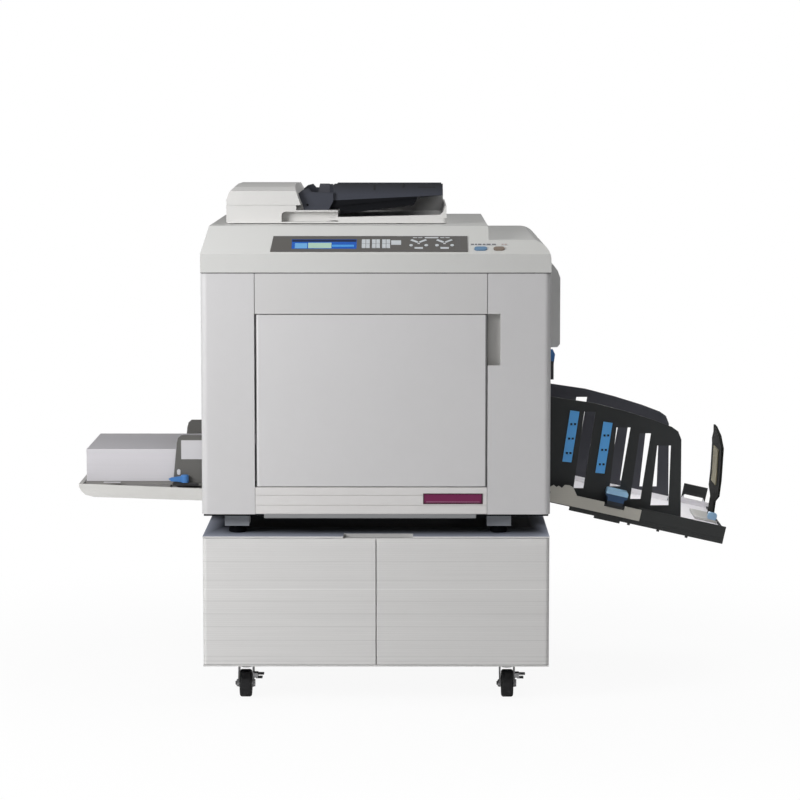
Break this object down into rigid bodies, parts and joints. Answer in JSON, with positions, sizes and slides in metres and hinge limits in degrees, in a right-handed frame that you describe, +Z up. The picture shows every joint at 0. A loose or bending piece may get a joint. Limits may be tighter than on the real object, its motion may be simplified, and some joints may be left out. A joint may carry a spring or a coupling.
{
  "type": "digital duplicator",
  "caption": "Floor-standing digital duplicator with a hinged document feeder, print drums behind a front door, paper trays and a cabinet on casters.",
  "frame": {"origin": "on the floor, below the middle of the whole outline with the trays open", "axes": "+Z up, +X to the operator's right along the paper path, -Y towards the operator"},
  "size_m": [1.424, 0.735, 1.11],
  "materials": {
    "casing_plastic": "fine moulded grain",
    "scanner_plastic": "fine moulded grain",
    "feeder_plastic": "satin moulded",
    "dark_tray_plastic": "satin moulded",
    "stand_board": "laminated board with fine level lines",
    "dark_metal": "satin paint",
    "frame_steel": "plated sheet",
    "caster_steel": "zinc plated",
    "wheel_rubber": "satin",
    "foot_rubber": "matte",
    "roller_rubber": "matte",
    "panel_plastic": "satin",
    "stage_glass": "clear",
    "start_blue": "satin",
    "stop_brown": "satin",
    "grip_blue": "satin",
    "guide_black": "satin moulded",
    "guide_grey": "satin moulded",
    "tray_pale": "satin moulded",
    "paper": "matte",
    "drum_screen_steel": "fine mesh",
    "ink_plastic": "gloss",
    "drum_plastic": "moulded",
    "engine_plastic": "moulded",
    "motor_metal": "satin paint",
    "board_green": "coated"
  },
  "bodies": {
    "machine": {"cabinet_carcass": "stand_board", "base_frame": "dark_metal", "rubber_feet": "foot_rubber", "left_cover": "casing_plastic", "right_cover": "casing_plastic", "front_upper_panel": "casing_plastic", "front_skirt": "casing_plastic", "rear_cover": "casing_plastic", "side_housing": "casing_plastic", "scanner_housing": "scanner_plastic", "stage_glass": "stage_glass", "scan_carriage": "engine_plastic", "control_panel": "panel_plastic", "machine_frame": "frame_steel", "conveyors": "engine_plastic", "master_unit": "engine_plastic", "disposal_box": "engine_plastic", "drive_motor": "motor_metal", "power_and_control_boards": "board_green", "receiving_tray": "guide_black", "receiving_tray_floor": "tray_pale"},
    "front_cover": {"front_cover": "casing_plastic"},
    "drum_unit_1": {"drum_frame_1": "drum_plastic"},
    "drum_screen_1": {"drum_screen_1": "drum_screen_steel"},
    "ink_cartridge_1": {"ink_cartridge_1": "ink_plastic"},
    "press_roller_1": {"press_roller_1": "roller_rubber"},
    "drum_unit_2": {"drum_frame_2": "drum_plastic"},
    "drum_screen_2": {"drum_screen_2": "drum_screen_steel"},
    "ink_cartridge_2": {"ink_cartridge_2": "ink_plastic"},
    "press_roller_2": {"press_roller_2": "roller_rubber"},
    "cabinet_door_left": {"cabinet_door_left": "stand_board"},
    "cabinet_door_right": {"cabinet_door_right": "stand_board"},
    "caster_front_left": {"caster_fork_front_left": "caster_steel"},
    "wheel_front_left": {"caster_wheel_front_left": "wheel_rubber"},
    "brake_front_left": {"brake_lever_front_left": "caster_steel"},
    "caster_front_right": {"caster_fork_front_right": "caster_steel"},
    "wheel_front_right": {"caster_wheel_front_right": "wheel_rubber"},
    "brake_front_right": {"brake_lever_front_right": "caster_steel"},
    "caster_rear_left": {"caster_fork_rear_left": "caster_steel"},
    "wheel_rear_left": {"caster_wheel_rear_left": "wheel_rubber"},
    "caster_rear_right": {"caster_fork_rear_right": "caster_steel"},
    "wheel_rear_right": {"caster_wheel_rear_right": "wheel_rubber"},
    "document_lid": {"adf_lid": "feeder_plastic"},
    "feeder_top_cover": {"adf_top_cover": "feeder_plastic"},
    "document_tray": {"adf_tray": "dark_tray_plastic"},
    "document_guide_front": {"adf_guide_front": "dark_tray_plastic"},
    "document_guide_rear": {"adf_guide_rear": "dark_tray_plastic"},
    "document_roller": {"adf_roller": "roller_rubber"},
    "feed_tray": {"feed_tray": "tray_pale"},
    "feed_guide_front": {"feed_guide_front": "guide_grey"},
    "feed_guide_rear": {"feed_guide_rear": "guide_grey"},
    "feed_lock_lever": {"feed_lock_lever": "grip_blue"},
    "paper_stack": {"paper_stack": "paper"},
    "feed_roller": {"feed_roller": "roller_rubber"},
    "receiving_guide_front": {"receiving_guide_front": "guide_black"},
    "receiving_guide_rear": {"receiving_guide_rear": "guide_black"},
    "end_guide": {"end_guide": "guide_black"},
    "start_key": {"start_key": "start_blue"},
    "stop_key": {"stop_key": "stop_brown"},
    "wing_lever": {"wing_lever": "grip_blue"}
  },
  "joints": [
    {"name": "front_cover_hinge", "type": "hinge", "parent": "machine", "child": "front_cover", "pos_m": [-0.3053, -0.3595, 0.655], "axis": [0, 0, -1], "range_deg": [0, 92]},
    {"name": "drum_1_slide", "type": "slide", "parent": "machine", "child": "drum_unit_1", "axis": [0, -1, 0], "range_m": [0, 0.17]},
    {"name": "ink_1_slide", "type": "slide", "parent": "drum_unit_1", "child": "ink_cartridge_1", "axis": [0, -1, 0], "range_m": [0, 0.07]},
    {"name": "drum_1_spin", "type": "hinge", "parent": "drum_unit_1", "child": "drum_screen_1", "pos_m": [-0.177, 0, 0.692], "axis": [0, 1, 0], "continuous": true},
    {"name": "press_roller_1_spin", "type": "hinge", "parent": "machine", "child": "press_roller_1", "pos_m": [-0.177, 0, 0.575], "axis": [0, 1, 0], "continuous": true},
    {"name": "drum_2_slide", "type": "slide", "parent": "machine", "child": "drum_unit_2", "axis": [0, -1, 0], "range_m": [0, 0.17]},
    {"name": "ink_2_slide", "type": "slide", "parent": "drum_unit_2", "child": "ink_cartridge_2", "axis": [0, -1, 0], "range_m": [0, 0.07]},
    {"name": "drum_2_spin", "type": "hinge", "parent": "drum_unit_2", "child": "drum_screen_2", "pos_m": [0.043, 0, 0.692], "axis": [0, 1, 0], "continuous": true},
    {"name": "press_roller_2_spin", "type": "hinge", "parent": "machine", "child": "press_roller_2", "pos_m": [0.043, 0, 0.575], "axis": [0, 1, 0], "continuous": true},
    {"name": "cabinet_door_left_hinge", "type": "hinge", "parent": "machine", "child": "cabinet_door_left", "pos_m": [-0.419, -0.3585, 0.223], "axis": [0, 0, -1], "range_deg": [0, 105]},
    {"name": "cabinet_door_right_hinge", "type": "hinge", "parent": "machine", "child": "cabinet_door_right", "pos_m": [0.305, -0.3585, 0.223], "axis": [0, 0, 1], "range_deg": [0, 105]},
    {"name": "swivel_front_left", "type": "hinge", "parent": "machine", "child": "caster_front_left", "pos_m": [-0.341, -0.26, 0.078], "axis": [0, 0, 1], "continuous": true},
    {"name": "wheel_spin_front_left", "type": "hinge", "parent": "caster_front_left", "child": "wheel_front_left", "pos_m": [-0.341, -0.285, 0.03], "axis": [1, 0, 0], "continuous": true},
    {"name": "brake_lever_front_left_turn", "type": "hinge", "parent": "caster_front_left", "child": "brake_front_left", "pos_m": [-0.319, -0.279, 0.047], "axis": [0, 1, 0], "range_deg": [0, 20]},
    {"name": "swivel_front_right", "type": "hinge", "parent": "machine", "child": "caster_front_right", "pos_m": [0.227, -0.26, 0.078], "axis": [0, 0, 1], "continuous": true},
    {"name": "wheel_spin_front_right", "type": "hinge", "parent": "caster_front_right", "child": "wheel_front_right", "pos_m": [0.227, -0.285, 0.03], "axis": [1, 0, 0], "continuous": true},
    {"name": "brake_lever_front_right_turn", "type": "hinge", "parent": "caster_front_right", "child": "brake_front_right", "pos_m": [0.249, -0.279, 0.047], "axis": [0, 1, 0], "range_deg": [0, 20]},
    {"name": "swivel_rear_left", "type": "hinge", "parent": "machine", "child": "caster_rear_left", "pos_m": [-0.341, 0.275, 0.078], "axis": [0, 0, 1], "continuous": true},
    {"name": "wheel_spin_rear_left", "type": "hinge", "parent": "caster_rear_left", "child": "wheel_rear_left", "pos_m": [-0.341, 0.25, 0.03], "axis": [1, 0, 0], "continuous": true},
    {"name": "swivel_rear_right", "type": "hinge", "parent": "machine", "child": "caster_rear_right", "pos_m": [0.227, 0.275, 0.078], "axis": [0, 0, 1], "continuous": true},
    {"name": "wheel_spin_rear_right", "type": "hinge", "parent": "caster_rear_right", "child": "wheel_rear_right", "pos_m": [0.227, 0.25, 0.03], "axis": [1, 0, 0], "continuous": true},
    {"name": "document_lid_hinge", "type": "hinge", "parent": "machine", "child": "document_lid", "pos_m": [-0.14, 0.262, 1.035], "axis": [-1, 0, 0], "range_deg": [0, 65]},
    {"name": "feeder_top_cover_hinge", "type": "hinge", "parent": "document_lid", "child": "feeder_top_cover", "pos_m": [-0.378, 0.028, 1.0704], "axis": [0, -1, 0], "range_deg": [0, 70]},
    {"name": "document_tray_hinge", "type": "hinge", "parent": "document_lid", "child": "document_tray", "pos_m": [-0.208, 0, 1.064], "axis": [0, -1, 0], "range_deg": [0, 25]},
    {"name": "document_guide_front_slide", "type": "slide", "parent": "document_tray", "child": "document_guide_front", "axis": [0, 1, 0], "range_m": [0, 0.07]},
    {"name": "document_guide_rear_slide", "type": "slide", "parent": "document_tray", "child": "document_guide_rear", "axis": [0, -1, 0], "range_m": [0, 0.07]},
    {"name": "document_roller_spin", "type": "hinge", "parent": "document_lid", "child": "document_roller", "pos_m": [-0.262, 0, 1.079], "axis": [0, 1, 0], "continuous": true},
    {"name": "feed_tray_lift", "type": "slide", "parent": "machine", "child": "feed_tray", "axis": [0, 0, 1], "range_m": [0, 0.073]},
    {"name": "feed_guide_front_slide", "type": "slide", "parent": "feed_tray", "child": "feed_guide_front", "axis": [0, -1, 0], "range_m": [0, 0.008]},
    {"name": "feed_guide_rear_slide", "type": "slide", "parent": "feed_tray", "child": "feed_guide_rear", "axis": [0, 1, 0], "range_m": [0, 0.008]},
    {"name": "feed_lock_lever_turn", "type": "hinge", "parent": "feed_guide_front", "child": "feed_lock_lever", "pos_m": [-0.48, -0.167, 0.456], "axis": [0, 0, 1], "range_deg": [0, 35]},
    {"name": "paper_stack_slide", "type": "slide", "parent": "feed_tray", "child": "paper_stack", "axis": [-1, 0, 0], "range_m": [0, 0.45]},
    {"name": "feed_roller_spin", "type": "hinge", "parent": "machine", "child": "feed_roller", "pos_m": [-0.392, 0, 0.6205], "axis": [0, 1, 0], "continuous": true},
    {"name": "receiving_guide_front_slide", "type": "slide", "parent": "machine", "child": "receiving_guide_front", "axis": [0, 1, 0], "range_m": [0, 0.1]},
    {"name": "receiving_guide_rear_slide", "type": "slide", "parent": "machine", "child": "receiving_guide_rear", "axis": [0, -1, 0], "range_m": [0, 0.1]},
    {"name": "end_guide_slide", "type": "slide", "parent": "machine", "child": "end_guide", "axis": [0.9763, 0, -0.2164], "range_m": [-0.2, 0]},
    {"name": "start_key_press", "type": "slide", "parent": "machine", "child": "start_key", "axis": [0, 0.4838, -0.8752], "range_m": [0, 0.002], "stiffness_N_per_m": 400},
    {"name": "stop_key_press", "type": "slide", "parent": "machine", "child": "stop_key", "axis": [0, 0.4838, -0.8752], "range_m": [0, 0.002], "stiffness_N_per_m": 400},
    {"name": "wing_lever_turn", "type": "hinge", "parent": "machine", "child": "wing_lever", "pos_m": [0.325, -0.172, 0.716], "axis": [0, 1, 0], "range_deg": [0, 25]}
  ],
  "couplings": [
    {"joint": "drum_1_slide", "follows": "front_cover_hinge", "m_per_rad": 0.1},
    {"joint": "ink_1_slide", "follows": "front_cover_hinge", "m_per_rad": 0.04},
    {"joint": "drum_2_slide", "follows": "front_cover_hinge", "m_per_rad": 0.1},
    {"joint": "ink_2_slide", "follows": "front_cover_hinge", "m_per_rad": 0.04},
    {"joint": "drum_2_spin", "follows": "drum_1_spin", "ratio": 1},
    {"joint": "press_roller_1_spin", "follows": "drum_1_spin", "ratio": -3.6},
    {"joint": "press_roller_2_spin", "follows": "drum_1_spin", "ratio": -3.6},
    {"joint": "document_guide_rear_slide", "follows": "document_guide_front_slide", "ratio": 1},
    {"joint": "feed_guide_rear_slide", "follows": "feed_guide_front_slide", "ratio": 1},
    {"joint": "receiving_guide_rear_slide", "follows": "receiving_guide_front_slide", "ratio": 1}
  ]
}
